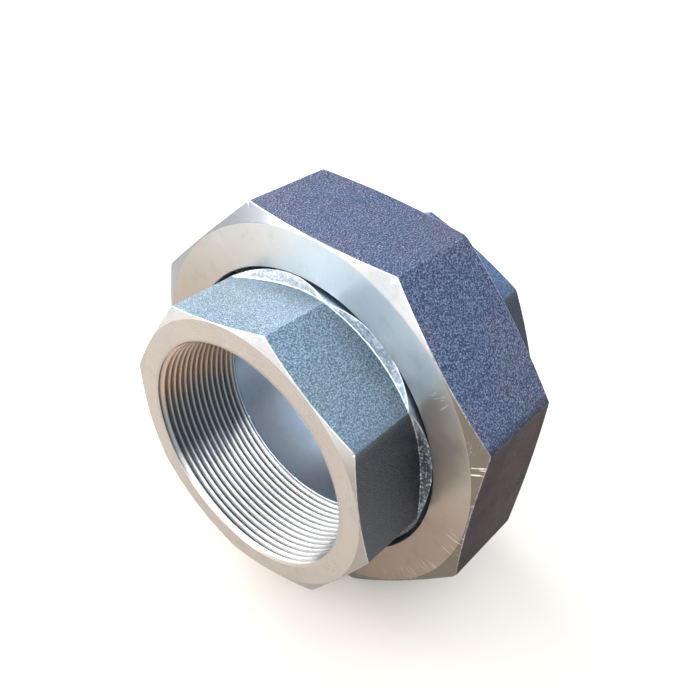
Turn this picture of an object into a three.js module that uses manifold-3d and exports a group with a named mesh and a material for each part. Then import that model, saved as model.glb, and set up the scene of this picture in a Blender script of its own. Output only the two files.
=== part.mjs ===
// Threaded pipe union, nominal size 4 inch, forged steel, integral metal-to-metal seat.
// Three bodies on one axis: a tail piece held by its collar, an octagonal union nut that turns
// on it, and a male end that carries the union thread and the conical seat.
//
// Frame: millimetres. +X runs along the pipe axis from the tail piece to the male end, +Z is up.
// The origin is on the axis, halfway along the union. The nut rests on its bottom flat.

import * as THREE from 'three';
import { mergeVertices } from 'three/addons/utils/BufferGeometryUtils.js';
import Module from 'manifold-3d';

const wasm = await Module();
wasm.setup();

// ---------------------------------------------------------------- driving dimensions
const LENGTH = 130;              // end face to end face, with the seat closed
const TAIL_OUT = 38.8;           // tail end face to the nut's front face
const NUT_THICK = 51.2;          // nut, face to face
const NUT_AF = 185;              // nut, across flats
const NUT_FACE_R = 91.7;         // edge circle of the nut's turned faces
const NUT_HOLE_R = 72.9;         // hole in the nut's lip
const NUT_LIP = 14;              // thickness of that lip
const END_AF = 132.2;            // octagons of both ends, across flats
const END_FACE_R = 65.7;         // edge circle of the two end faces
const NECK_R = 71.5;             // round neck behind each octagon
const CHAMFER_SLOPE = 0.36;      // axial depth per mm of radius on every octagon chamfer
const TAIL_TURN = -14.2;         // octagons' turn about X against the nut's, in degrees
const MALE_TURN = 19.1;
const CUTTER_R = 80;             // curved ends of the end pieces' flats
const FLAT_END = 1.1;            // where a tail flat ends at its middle, past the nut's front face
const COLLAR_R = 79.4;           // collar of the tail piece, inside the nut
const COLLAR_THICK = 10.2;
const GAP = 0.3;                 // left where two pieces touch
const BORE_R = 51.2;             // waterway
const SOCKET_DEPTH = 46;         // tapered pipe thread sockets, 8 threads per inch
const SOCKET_MINOR_R = 54.45;    // at the mouth, on the thread crests
const SOCKET_TAPER = 1 / 32;     // radius lost per mm of depth
const SOCKET_BEVEL = 2.6;
const PITCH = 3.175;             // union thread, right hand, 8 threads per inch
const THREAD_H = 1.9;
const MALE_ROOT_R = 80.4;
const THREAD_CLEAR = 0.42;       // radial clearance of the nut's thread
const THREAD_END = 53.6;         // where the male thread has run out
const SHOULDER_R = 81;           // plain land behind the male thread
const SHOULDER_END = 56.6;       // end of the large diameter
const BALL_R = 87.7;             // spherical nose of the tail piece
const NOSE_R0 = 67;              // where the sphere starts, at the collar's face
const NOSE_R1 = 58;              // where it ends, at the flat nose
const SEAT_CONTACT_R = 62;       // sphere and 45 degree cone touch on this radius
const SEGMENTS = 48;             // around every turned surface
const THREAD_SEGMENTS = 48;      // around the helical surfaces

// distances along the axis are written from the nut's front face
const ORIGIN = -TAIL_OUT + LENGTH / 2;

// ---------------------------------------------------------------- solids
function solid(geometry) {
  const g = geometry.clone();
  g.deleteAttribute('normal');
  g.deleteAttribute('uv');
  const m = mergeVertices(g, 1e-4);
  const index = m.index.array;
  const tri = [];
  for (let i = 0; i < index.length; i += 3) {
    const a = index[i], b = index[i + 1], c = index[i + 2];
    if (a !== b && b !== c && c !== a) tri.push(a, b, c);
  }
  const p = m.attributes.position.array;
  let volume = 0;
  for (let i = 0; i < tri.length; i += 3) {
    const [a, b, c] = [tri[i] * 3, tri[i + 1] * 3, tri[i + 2] * 3];
    volume += p[a] * (p[b + 1] * p[c + 2] - p[b + 2] * p[c + 1])
      + p[a + 1] * (p[b + 2] * p[c] - p[b] * p[c + 2])
      + p[a + 2] * (p[b] * p[c + 1] - p[b + 1] * p[c]);
  }
  if (volume < 0) for (let i = 0; i < tri.length; i += 3) [tri[i], tri[i + 1]] = [tri[i + 1], tri[i]];
  return new wasm.Manifold(new wasm.Mesh({
    numProp: 3,
    vertProperties: Float32Array.from(p),
    triVerts: Uint32Array.from(tri),
  }));
}

// turned solid about X: profile is a list of [x, r] that starts and ends on the axis
function turned(profile) {
  const g = new THREE.LatheGeometry(profile.map(([x, r]) => new THREE.Vector2(r, x)), SEGMENTS);
  g.rotateZ(-Math.PI / 2);
  return solid(g);
}

// direction of an angle in degrees, measured from +Z towards -Y
const radial = (deg) => {
  const a = THREE.MathUtils.degToRad(deg);
  return new THREE.Vector3(0, -Math.sin(a), Math.cos(a));
};

// octagonal prism along X, with its flats up and down before the turn
function octagon(af, turn, x0, x1) {
  const r = af / 2 / Math.cos(Math.PI / 8);
  const shape = new THREE.Shape();
  for (let k = 0; k < 8; k++) {
    const d = radial(22.5 + 45 * k + turn);
    if (k) shape.lineTo(r * d.y, r * d.z); else shape.moveTo(r * d.y, r * d.z);
  }
  shape.closePath();
  const g = new THREE.ExtrudeGeometry(shape, { depth: x1 - x0, bevelEnabled: false });
  g.applyMatrix4(new THREE.Matrix4().makeBasis(
    new THREE.Vector3(0, 1, 0), new THREE.Vector3(0, 0, 1), new THREE.Vector3(1, 0, 0)));
  g.translate(x0, 0, 0);
  return solid(g);
}

// turned envelope whose ends are chamfered back from a face circle
function envelope(x0, x1, face0, face1, r) {
  return turned([
    [x0, 0], [x0, face0], [x0 + (r - face0) * CHAMFER_SLOPE, r],
    [x1 - (r - face1) * CHAMFER_SLOPE, r], [x1, face1], [x1, 0],
  ]);
}

// what is cut away outside one flat: its inner end is an arc about an axis square to the flat.
// side is +1 where the flat runs out towards +X, and -1 where it runs out towards -X
function flatCutter(angle, x, side) {
  const half = 36, far = 70, steps = 14;
  const shape = new THREE.Shape();
  shape.moveTo(x - side * far, -half);
  for (let i = 0; i <= steps; i++) {
    const w = -half + (2 * half * i) / steps;
    shape.lineTo(x - side * (CUTTER_R - Math.sqrt(CUTTER_R ** 2 - w ** 2)), w);
  }
  shape.lineTo(x - side * far, half);
  shape.closePath();
  const g = new THREE.ExtrudeGeometry(shape, { depth: 24, bevelEnabled: false });
  const n = radial(angle);
  const w = new THREE.Vector3().crossVectors(n, new THREE.Vector3(1, 0, 0));
  g.applyMatrix4(new THREE.Matrix4().makeBasis(new THREE.Vector3(1, 0, 0), w, n)
    .setPosition(n.clone().multiplyScalar(END_AF / 2)));
  return solid(g);
}

// solid bolt with a helical 60 degree thread, right hand, that fades to its root at both ends
function threaded(x0, x1, root, fade0, fade1) {
  const n = THREAD_SEGMENTS;
  const flank = THREAD_H * Math.tan(Math.PI / 6);
  const flat = PITCH / 2 - flank;
  const section = [[0, 0], [flat, 0], [flat + flank, 1], [2 * flat + flank, 1]];
  const turns = Math.ceil((x1 - x0) / PITCH) + 4;
  const rows = 4 * turns;
  const position = [], lastRow = rows - 1;
  const ring0 = [], ring1 = [], id = [];
  const put = (x, r, j) => {
    const a = (2 * Math.PI * j) / n;
    position.push(x, r * Math.cos(a), r * Math.sin(a));
    return position.length / 3 - 1;
  };
  for (let j = 0; j < n; j++) {
    ring0.push(put(x0, root, j));
    ring1.push(put(x1, root, j));
    const column = [];
    for (let i = 0; i < rows; i++) {
      const [offset, level] = section[i % 4];
      const x = (Math.floor(x0 / PITCH) - 2 + Math.floor(i / 4) + j / n) * PITCH + offset;
      if (x <= x0 + 0.02) column.push(ring0[j]);
      else if (x >= x1 - 0.02) column.push(ring1[j]);
      else {
        const f = Math.min(1, (x - x0) / fade0, (x1 - x) / fade1);
        column.push(put(x, root + THREAD_H * level * f, j));
      }
    }
    id.push(column);
  }
  const tri = [];
  const add = (a, b, c) => { if (a !== b && b !== c && c !== a) tri.push(a, b, c); };
  for (let j = 0; j < n; j++) {
    for (let i = 0; i < lastRow; i++) {
      const next = (k) => (j < n - 1 ? id[j + 1][k] : id[0][Math.min(k + 4, lastRow)]);
      add(id[j][i], next(i), next(i + 1));
      add(id[j][i], next(i + 1), id[j][i + 1]);
    }
  }
  position.push(x0, 0, 0, x1, 0, 0);
  const c0 = position.length / 3 - 2, c1 = c0 + 1;
  for (let j = 0; j < n; j++) {
    const k = (j + 1) % n;
    add(c0, ring0[k], ring0[j]);
    add(c1, ring1[j], ring1[k]);
  }
  const g = new THREE.BufferGeometry();
  g.setAttribute('position', new THREE.Float32BufferAttribute(position, 3));
  g.setIndex(tri);
  return solid(g);
}

// tapered socket with a bevelled mouth at x, running in direction side, and the waterway past it
function socket(x, side, end) {
  const deep = SOCKET_MINOR_R - SOCKET_DEPTH * SOCKET_TAPER;
  return turned([
    [x - side * 2, 0], [x - side * 2, SOCKET_MINOR_R + SOCKET_BEVEL + 2],
    [x + side * SOCKET_BEVEL, SOCKET_MINOR_R - SOCKET_BEVEL * SOCKET_TAPER],
    [x + side * SOCKET_DEPTH, deep],
    [x + side * (SOCKET_DEPTH + (deep - BORE_R)), BORE_R],
    [end, BORE_R], [end, 0],
  ]);
}

function part(name, body, color, roughness, metalness) {
  const m = body.getMesh();
  const g = new THREE.BufferGeometry();
  g.setAttribute('position', new THREE.Float32BufferAttribute(m.vertProperties, 3));
  g.setIndex(Array.from(m.triVerts));
  g.computeVertexNormals();
  const mesh = new THREE.Mesh(g, new THREE.MeshStandardMaterial({ color, roughness, metalness, flatShading: true }));
  mesh.name = name;
  mesh.position.x = -ORIGIN;
  return mesh;
}

// ---------------------------------------------------------------- union nut
const nutOuter = octagon(NUT_AF, 0, 0, NUT_THICK)
  .intersect(envelope(0, NUT_THICK, NUT_FACE_R, NUT_FACE_R, 104));
const nutHole = turned([
  [-1, 0], [-1, NUT_HOLE_R + 1.6], [0.6, NUT_HOLE_R], [NUT_LIP + 1, NUT_HOLE_R], [NUT_LIP + 1, 0],
]);
// undercut behind the lip, then the thread, then a chamfered mouth
const nutUndercut = turned([
  [NUT_LIP, 0], [NUT_LIP, 83.1], [NUT_LIP + 5, 83.1], [NUT_LIP + 7, 80.6], [NUT_LIP + 7, 0],
]);
const nutThread = threaded(NUT_LIP + 5.5, NUT_THICK + 1.6, MALE_ROOT_R + THREAD_CLEAR, 0.5, 0.5);
const nutMouth = turned([
  [NUT_THICK - 2.6, 0], [NUT_THICK - 2.6, 80.2], [NUT_THICK + 1.4, 84.2], [NUT_THICK + 3, 84.2], [NUT_THICK + 3, 0],
]);
const unionNut = nutOuter.subtract(nutHole.add(nutUndercut).add(nutThread).add(nutMouth));

// ---------------------------------------------------------------- tail piece
const collar0 = NUT_LIP + GAP;
const collar1 = collar0 + COLLAR_THICK;
const ballX = collar1 - Math.sqrt(BALL_R ** 2 - NOSE_R0 ** 2);
const nose = [];
for (let i = 0; i <= 6; i++) {
  const r = NOSE_R0 + ((NOSE_R1 - NOSE_R0) * i) / 6;
  nose.push([ballX + Math.sqrt(BALL_R ** 2 - r ** 2), r]);
}
const noseEnd = nose[6][0];
let tail = turned([
  [-TAIL_OUT, 0], [-TAIL_OUT, END_FACE_R],
  [-TAIL_OUT + (NECK_R - END_FACE_R) * CHAMFER_SLOPE, NECK_R],
  [collar0, NECK_R], [collar0, COLLAR_R - 0.8], [collar0 + 0.8, COLLAR_R],
  [collar1 - 0.8, COLLAR_R], [collar1, COLLAR_R - 0.8], ...nose, [noseEnd, 0],
]);
for (let k = 0; k < 8; k++) tail = tail.subtract(flatCutter(45 * k + TAIL_TURN, FLAT_END, 1));
tail = tail.subtract(socket(-TAIL_OUT, 1, noseEnd + 2));

// ---------------------------------------------------------------- male end
const maleEnd = LENGTH - TAIL_OUT;
const maleFront = collar1 + 0.8;
const contactX = ballX + Math.sqrt(BALL_R ** 2 - SEAT_CONTACT_R ** 2);
const seatSum = contactX + SEAT_CONTACT_R + GAP * Math.SQRT2;   // x + r is constant on the 45 degree cone
const seatEnd = noseEnd + 0.8;
const octagonStart = SHOULDER_END + 1.6;
let male = turned([
  [SHOULDER_END - 4.6, 0], [SHOULDER_END - 4.6, SHOULDER_R], [SHOULDER_END - 1, SHOULDER_R],
  [SHOULDER_END, SHOULDER_R - 1], [SHOULDER_END, NECK_R],
  [maleEnd - (NECK_R - END_FACE_R) * CHAMFER_SLOPE, NECK_R], [maleEnd, END_FACE_R], [maleEnd, 0],
]);
for (let k = 0; k < 8; k++) male = male.subtract(flatCutter(45 * k + MALE_TURN, octagonStart, -1));
male = male.add(threaded(maleFront, THREAD_END, MALE_ROOT_R, 2, 2.4));
male = male.subtract(turned([
  [maleFront - 2, 0], [maleFront - 2, seatSum - maleFront + 2], [seatEnd, seatSum - seatEnd], [seatEnd, 0],
]));
male = male.subtract(socket(maleEnd, -1, seatEnd - 2));

// ---------------------------------------------------------------- the union
const union = new THREE.Group();
union.add(part('tail_piece', tail, 0x8f9ca6, 0.5, 1));
union.add(part('union_nut', unionNut, 0x5f6274, 0.5, 1));
union.add(part('male_end', male, 0x747c8a, 0.5, 1));

export default union;
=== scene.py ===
import math

import bpy
import numpy as np
from mathutils import Matrix, Vector


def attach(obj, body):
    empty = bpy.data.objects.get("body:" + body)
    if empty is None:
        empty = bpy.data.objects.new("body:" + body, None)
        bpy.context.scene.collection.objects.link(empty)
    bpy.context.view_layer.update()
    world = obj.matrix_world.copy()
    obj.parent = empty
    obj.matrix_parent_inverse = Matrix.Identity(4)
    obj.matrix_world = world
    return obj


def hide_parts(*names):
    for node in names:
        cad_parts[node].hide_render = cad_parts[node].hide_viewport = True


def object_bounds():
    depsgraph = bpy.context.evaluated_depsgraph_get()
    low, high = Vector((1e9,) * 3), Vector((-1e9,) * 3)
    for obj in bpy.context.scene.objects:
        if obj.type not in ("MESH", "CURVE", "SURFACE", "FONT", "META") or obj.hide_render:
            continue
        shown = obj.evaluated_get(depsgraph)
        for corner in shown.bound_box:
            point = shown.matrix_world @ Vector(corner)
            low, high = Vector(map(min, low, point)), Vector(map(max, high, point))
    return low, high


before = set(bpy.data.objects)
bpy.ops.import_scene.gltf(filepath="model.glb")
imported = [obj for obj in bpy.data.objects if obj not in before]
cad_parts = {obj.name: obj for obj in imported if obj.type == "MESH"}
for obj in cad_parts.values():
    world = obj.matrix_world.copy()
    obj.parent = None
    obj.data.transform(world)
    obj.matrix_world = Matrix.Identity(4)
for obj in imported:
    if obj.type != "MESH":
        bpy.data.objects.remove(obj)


def plain(box):
    return [[float(x) for x in corner] for corner in box]


CAD_BOX = plain(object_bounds())

# ---------------------------------------------------------------- dimensions
# Millimetres. X runs from the nut's front face, then shifts to the row frame.
ORIGIN = 26.2
TAIL_OUT, NUT_THICK = 38.8, 51.2
NUT_A, NUT_FACE_R, NUT_HOLE_R, NUT_LIP = 92.5, 91.7, 72.9, 14.0
END_A, END_FACE_R, NECK_R = 66.1, 65.7, 71.5
SLOPE = 0.36
TAIL_TURN, MALE_TURN = -14.2, 19.1
CUTTER_R = 80.0
BORE_R, SOCKET_DEPTH, SOCKET_MINOR_R = 51.2, 46.0, 54.45
PITCH = 3.175
MALE_END_X = 91.2


def smooth(a, b, x):
    t = np.clip((x - a) / (b - a), 0.0, 1.0)
    return t * t * (3 - 2 * t)


# ---------------------------------------------------------------- value noise
def lattice(seed, n=64):
    return np.random.default_rng(seed).random((n, n, n)) * 2 - 1


LATTICES = {}


def noise(p, scale, seed):
    """Smooth value noise in -1..1 at points p (N, 3)."""
    if seed not in LATTICES:
        LATTICES[seed] = lattice(seed)
    g = LATTICES[seed]
    n = g.shape[0]
    q = p / scale + 1000.0
    i = np.floor(q).astype(int)
    f = q - i
    f = f * f * (3 - 2 * f)
    out = 0.0
    for dx in (0, 1):
        for dy in (0, 1):
            for dz in (0, 1):
                w = (
                    (f[..., 0] if dx else 1 - f[..., 0])
                    * (f[..., 1] if dy else 1 - f[..., 1])
                    * (f[..., 2] if dz else 1 - f[..., 2])
                )
                out = out + w * g[
                    (i[..., 0] + dx) % n, (i[..., 1] + dy) % n, (i[..., 2] + dz) % n
                ]
    return out


# ---------------------------------------------------------------- octagon
def columns(step=1.45):
    """Angles within a 45 degree sector, -22.5..22.5 about a corner at 0, finer at the corner."""
    fine = [0.0, 0.09, 0.18, 0.3, 0.5, 0.8, 1.3, 2.1]
    rest = list(np.linspace(2.1, 22.5, int(round((22.5 - 2.1) / step)) + 1))[1:]
    half = fine + rest
    sector = [-x for x in half[:0:-1]] + half
    return np.array(sector[:-1])


def ring_angles(turn, step=1.45):
    """All angles round the ring, with corners at 22.5 + 45k + turn; returns (theta, phi) where phi is the angle from the nearest corner."""
    sector = columns(step)
    theta, phi = [], []
    for k in range(8):
        theta.append(22.5 + 45 * k + turn + sector)
        phi.append(sector)
    return np.concatenate(theta), np.concatenate(phi)


def seam_column(theta, angle):
    """The column nearest to an angle, and every column's angle past it (0 on it)."""
    gap = np.abs(np.mod(theta - angle + 180.0, 360.0) - 180.0)
    col = int(np.argmin(gap))
    deg = np.mod(theta - theta[col], 360.0)
    deg[col] = 0.0
    return col, deg


def oct_radius(phi, a, rho):
    """Radius of an octagon of apothem a with corners rounded at radius rho, at angle phi from a corner."""
    f = np.radians(np.abs(phi))
    d = (a - rho) / math.cos(math.radians(22.5))
    flat = a / np.cos(math.radians(22.5) - f)
    under = np.maximum(rho**2 - (d * np.sin(f)) ** 2, 0.0)
    arc = d * np.cos(f) + np.sqrt(under)
    start = math.radians(22.5) - math.atan((a - rho) * math.tan(math.radians(22.5)) / a)
    return np.where(f < start, np.minimum(arc, flat), flat)


def direction(theta):
    t = np.radians(theta)
    return -np.sin(t), np.cos(t)


# ---------------------------------------------------------------- grid builder
class Rows:
    """Collects closed rings of (x, r) per column, with a zone per band between two rings."""

    def __init__(self, count):
        self.count, self.x, self.r, self.zone = count, [], [], []
        self.seams = []  # (first row, last row, first column after the seam, rows to shift)

    def add(self, x, r, zone):
        self.x.append(np.broadcast_to(np.asarray(x, float), (self.count,)).copy())
        self.r.append(np.broadcast_to(np.asarray(r, float), (self.count,)).copy())
        self.zone.append(zone)

    def line(self, x0, r0, x1, r1, n, zone, skip_first=True):
        for k in range(1 if skip_first else 0, n + 1):
            t = k / n
            self.add(
                np.asarray(x0) * (1 - t) + np.asarray(x1) * t,
                np.asarray(r0) * (1 - t) + np.asarray(r1) * t,
                zone,
            )


def thread_level(s, crest, flank, rounding=0.16):
    """Trapezoid wave 0..1 of s in one pitch (0..1): 0 on the root, 1 on the crest, lightly rounded."""
    s = np.mod(s, 1.0)
    w = 0.5 - 0.5 * crest - flank
    d = np.abs(s - 0.5)
    y = np.clip((0.5 * crest + flank - d) / flank, 0.0, 1.0)
    return y * (1 - rounding) + rounding * y * y * (3 - 2 * y)


def build_mesh(name, rows, theta, turn_axis_shift=0.0):
    """The grid of points of the rings in millimetres, shifted to the row frame; finish_mesh makes the faces, with the
    last ring joining the first.
    """
    n, m = rows.count, len(rows.x)
    sy, cz = direction(theta)
    X = np.array(rows.x)
    R = np.array(rows.r)
    verts = np.stack([X - ORIGIN, R * sy[None, :], R * cz[None, :]], axis=-1)
    return verts


def finish_mesh(name, verts, zones, materials, flip=False, seams=()):
    """Makes the object from the (rows, columns, 3) grid in millimetres."""
    m, n, _ = verts.shape
    ids = np.arange(m * n).reshape(m, n)
    nxt_r = np.roll(ids, -1, axis=0)
    nxt_c = np.roll(ids, -1, axis=1)
    both = np.roll(nxt_r, -1, axis=1)
    # a helix comes back one pitch further on, so a thread's rows join shifted by one turn at its seam
    for first_row, last_row, col, shift in seams:
        band = np.arange(first_row, last_row)
        left = (col - 1) % n
        nxt_c[band, left] = ids[np.clip(band + shift, first_row, last_row), col]
        both[band, left] = ids[np.clip(band + 1 + shift, first_row, last_row), col]
    quads = np.stack([ids, nxt_c, both, nxt_r], axis=-1)
    zone = np.repeat(np.roll(np.array(zones), -1)[:, None], n, axis=1)
    flat = verts.reshape(-1, 3)
    q = quads.reshape(-1, 4)
    z = zone.reshape(-1)
    if flip:
        q = q[:, ::-1]
    # merge points closer than 2 micrometres so that bands of no height close up
    key = np.round(flat / 0.002).astype(np.int64)
    _, first, back = np.unique(key, axis=0, return_index=True, return_inverse=True)
    back = back.reshape(-1)
    pts = flat[first]
    q = back[q]
    faces, mats = [], []
    for face, zz in zip(q.tolist(), z.tolist()):
        f = []
        for v in face:
            if v not in f:
                f.append(v)
        if len(f) >= 3:
            faces.append(f)
            mats.append(zz)
    mesh = bpy.data.meshes.new(name)
    mesh.from_pydata((pts * 0.001).tolist(), [], faces)
    mesh.validate(verbose=False)
    for mat in materials:
        mesh.materials.append(mat)
    mesh.polygons.foreach_set("material_index", np.array(mats[: len(mesh.polygons)], np.int32))
    mesh.polygons.foreach_set("use_smooth", np.ones(len(mesh.polygons), bool))
    mesh.update()
    obj = bpy.data.objects.new(name, mesh)
    bpy.context.scene.collection.objects.link(obj)
    return obj


def signed_volume(verts):
    m, n, _ = verts.shape
    a = verts
    b = np.roll(verts, -1, axis=1)
    c = np.roll(b, -1, axis=0)
    d = np.roll(verts, -1, axis=0)
    vol = (a * np.cross(b, c)).sum() + (a * np.cross(c, d)).sum()
    return vol / 6


# zones (material indices), the same on the three pieces
FLAT, TURNED, THREAD, BORE, STRIP, CHAMFER = range(6)


# ---------------------------------------------------------------- shared profiles
def npt_rows(rows, theta, face_x, sign, zone=THREAD):
    """Tapered internal pipe thread from the end face inwards; sign +1 when depth grows with +x. Rows go from the mouth inwards, following the helix."""
    per = 9
    turns = 14.6
    col, deg = seam_column(theta, 52.0)
    # one helix: right hand, advancing +x with the angle on both ends
    lead = PITCH * deg / 360.0
    total = int(per * turns)
    depth_end = SOCKET_DEPTH - 1.75
    for k in range(total + per + 1):
        base = k * PITCH / per - (PITCH if sign > 0 else 0.0)
        depth = base + (lead if sign > 0 else (PITCH - lead) - PITCH)
        depth = np.clip(depth, 0.0, depth_end)
        x_abs = face_x + sign * depth
        phase = (x_abs - lead) / PITCH
        level = thread_level(phase, 0.13, 0.36)
        crest = SOCKET_MINOR_R - depth / 32.0
        height = 2.25 * smooth(-0.6, 3.0, depth_end - depth)
        r = crest + height * level
        bevel = 57.2 - depth * 3.4
        r = np.maximum(r, bevel)
        rows.add(x_abs, r, zone)
    return col


# ---------------------------------------------------------------- surface detail
def corner_wear(theta, phi, seed):
    """Slow variation round the ring, 0..1."""
    t = np.radians(theta)
    p = np.stack([np.cos(t) * 40, np.sin(t) * 40, np.full_like(t, seed * 3.1)], axis=-1)
    return 0.5 + 0.5 * noise(p, 5.0, seed)


def dents(verts, centres):
    """Pushes the surface in along the direction given at each centre: (point mm, direction, radius mm, depth mm)."""
    out = verts.copy()
    for c, d, rad, dep in centres:
        c, d = np.array(c, float), np.array(d, float)
        d /= np.linalg.norm(d)
        dist = np.linalg.norm(verts - c, axis=-1) / rad
        fall = np.clip(1 - dist**2, 0, None) ** 2
        out = out + d * (dep * fall)[..., None]
    return out


# ---------------------------------------------------------------- tail piece
def make_end(kind, materials):
    """tail or male octagonal end with its socket; the hidden half differs."""
    tail = kind == "tail"
    turn = TAIL_TURN if tail else MALE_TURN
    theta, phi = ring_angles(turn, 1.45 if tail else 1.68)
    rows = Rows(len(theta))
    sign = 1.0 if tail else -1.0
    face_x = -TAIL_OUT if tail else MALE_END_X
    w_edge = corner_wear(theta, phi, 3 if tail else 5)
    rho = 0.55
    rc = oct_radius(phi, END_A, rho)
    f = np.radians(np.abs(phi))
    # 1 the mouth bevel and thread are added last; start on the end face at the bevel
    r_in = 57.2
    rows.add(face_x + sign * 0.0, r_in + 0.25, TURNED)
    # end face out to the chamfer circle
    rows.line(face_x, r_in + 0.25, face_x, END_FACE_R - 0.25, 7, TURNED)
    # chamfer cone to the octagon
    rise = SLOPE * np.maximum(rc - END_FACE_R, 0.0)
    cut = np.minimum(0.25, 0.45 * np.maximum(rc - END_FACE_R, 0.02))
    rows.add(face_x, END_FACE_R, TURNED)
    cx, cr = face_x + sign * rise, rc
    slope_len = np.hypot(rise, rc - END_FACE_R)
    for t in (0.12, 0.35, 0.6, 0.85):
        rows.add(face_x + sign * rise * t, END_FACE_R + (rc - END_FACE_R) * t, CHAMFER)
    edge = 0.10 + 0.16 * w_edge
    edge = np.minimum(edge, 0.4 * (slope_len + 0.3))
    inv = 1.0 / np.maximum(slope_len, 1e-6)
    k_in = np.minimum(edge * inv, 0.45)
    rows.add(cx - sign * rise * k_in, cr - (rc - END_FACE_R) * k_in, CHAMFER)
    rows.add(cx + sign * edge * 0.25, cr - edge * 0.10, CHAMFER)
    rows.add(cx + sign * edge, cr, CHAMFER)
    # flats along x to the cutter's arc, with the end wall rising to the neck
    lateral = rc * np.sin(math.radians(22.5) - f)  # distance from the middle of the flat
    arc = CUTTER_R - np.sqrt(CUTTER_R**2 - np.minimum(lateral, 60.0) ** 2)
    stop0 = (1.1 if tail else 58.2)
    x_end = stop0 - sign * arc
    x_start = cx + sign * edge
    steps = 24
    for k in range(1, steps + 1):
        t = k / steps
        rows.add(x_start + (x_end - sign * 0.5 - x_start) * t, cr, FLAT)
    # small root radius at the foot of the wall, then the wall
    neck_r = np.maximum(NECK_R, rc + 0.03)
    height = neck_r - rc
    wall_dx = sign * 0.20 * height
    foot = np.minimum(0.5, 0.4 * height)
    for t in (0.35, 0.7, 1.0):
        a = t * math.pi / 2
        rows.add(
            x_end - sign * 0.5 * (1 - math.sin(a)) ,
            rc + foot * (1 - math.cos(a)),
            STRIP,
        )
    for k in range(1, 6):
        t = k / 6
        rows.add(x_end + wall_dx * t, rc + foot + (height - foot) * t, STRIP)
    lip = np.minimum(0.22, 0.4 * height)
    rows.add(x_end + wall_dx - sign * 0.02, neck_r - lip, STRIP)
    rows.add(x_end + wall_dx + sign * 0.06, neck_r - lip * 0.3, STRIP)
    rows.add(x_end + wall_dx + sign * (lip + 0.02), neck_r - 0.0, BORE)
    if tail:
        x1 = 6.5
        start = x_end + wall_dx + sign * (lip + 0.02)
        for k in range(1, 7):
            t = k / 6
            rows.add(start + (x1 - start) * t, neck_r + (NECK_R - neck_r) * smooth(0, 1, t), BORE)
        rows.line(x1, NECK_R, 13.9, NECK_R, 4, BORE)
        rows.add(14.25, NECK_R + 0.15, BORE)
        rows.add(14.35, NECK_R + 0.6, BORE)
        rows.line(14.35, NECK_R + 0.6, 14.3, 78.6, 4, TURNED)
        rows.add(14.5, 79.1, TURNED)
        rows.add(15.0, 79.38, TURNED)
        rows.line(15.0, 79.38, 23.8, 79.38, 5, TURNED)
        rows.add(24.3, 79.1, TURNED)
        rows.add(24.5, 78.6, TURNED)
        rows.line(24.5, 78.6, 24.5, 67.6, 6, TURNED)
        rows.add(24.56, 67.15, TURNED)
        # spherical nose
        cxs = 24.5 - math.sqrt(87.7**2 - 67.0**2)
        for r in np.linspace(66.9, 58.4, 14):
            rows.add(cxs + math.sqrt(87.7**2 - r**2), r, CHAMFER)
        nose_x = cxs + math.sqrt(87.7**2 - 58.0**2)
        rows.add(nose_x - 0.05, 58.1, CHAMFER)
        rows.line(nose_x, 57.8, nose_x, 51.7, 5, TURNED)
        rows.add(nose_x - 0.1, 51.35, BORE)
        rows.add(nose_x - 0.45, 51.2, BORE)
        inner_from = nose_x - 0.45
        inner_to = -TAIL_OUT + SOCKET_DEPTH + 2.0
    else:
        x1 = 57.0
        start = x_end + wall_dx + sign * (lip + 0.02)
        rows.line(start, neck_r, np.full_like(theta, x1), NECK_R, 3, BORE)
        rows.add(56.72, NECK_R + 0.12, BORE)
        rows.add(56.6, NECK_R + 0.45, BORE)
        rows.line(56.6, NECK_R + 0.45, 56.6, 79.7, 6, TURNED)
        rows.add(56.5, 80.1, TURNED)
        rows.add(55.75, 80.9, TURNED)
        rows.add(55.4, 81.0, TURNED)
        rows.line(55.4, 81.0, 53.9, 81.0, 2, TURNED)
        # external union thread from the land forwards
        per = 9
        col, deg = seam_column(theta, 270.0)
        lead = PITCH * deg / 360.0
        start = PITCH * (theta[col] + 90.0) / 360.0
        x_hi, x_lo = 53.6, 25.9
        total = int(per * (x_hi - x_lo) / PITCH) + per + 2
        rows.seams.append((len(rows.x), len(rows.x) + total, col, per))
        for k in range(total + 1):
            x = x_hi - (k * PITCH / per) + (PITCH - lead)
            x = np.clip(x, x_lo, x_hi)
            s = np.mod((x - lead - start) / PITCH, 1.0)
            # level 0 to .4905 mm, flank to 1.5875, level 1 to 2.078, flank back at 3.175
            xs = s * PITCH
            lvl = np.where(
                xs < 0.4905,
                0.0,
                np.where(
                    xs < 1.5875,
                    (xs - 0.4905) / 1.097,
                    np.where(xs < 2.078, 1.0, (3.175 - xs) / 1.097),
                ),
            )
            lvl = np.clip(lvl, 0, 1)
            fade = smooth(0.0, 2.4, x_hi - x) * smooth(-0.6, 2.0, x - x_lo)
            r = 80.4 + 1.88 * lvl * fade
            r = np.minimum(r, 80.4 + (x - 25.3) * 1.0)
            r = np.where(x > 52.4, np.maximum(r, 80.4 + 0.6 * smooth(52.4, 53.6, x)), r)
            rows.add(x, r, THREAD)
        rows.add(25.6, 80.3, TURNED)
        rows.add(25.38, 80.1, TURNED)
        rows.add(25.3, 79.8, TURNED)
        seat_sum = 92.36
        r_seat0 = seat_sum - 25.3
        rows.line(25.3, 79.8, 25.3, r_seat0 + 0.3, 6, TURNED)
        rows.add(25.36, r_seat0 + 0.05, CHAMFER)
        rows.line(25.5, seat_sum - 25.5, 34.3, seat_sum - 34.3, 10, CHAMFER)
        rows.add(34.46, 57.7, TURNED)
        rows.line(34.49, 57.4, 34.49, 51.7, 5, TURNED)
        rows.add(34.59, 51.35, BORE)
        rows.add(34.9, 51.2, BORE)
        inner_from = 34.9
        inner_to = MALE_END_X - SOCKET_DEPTH - 2.0
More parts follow.
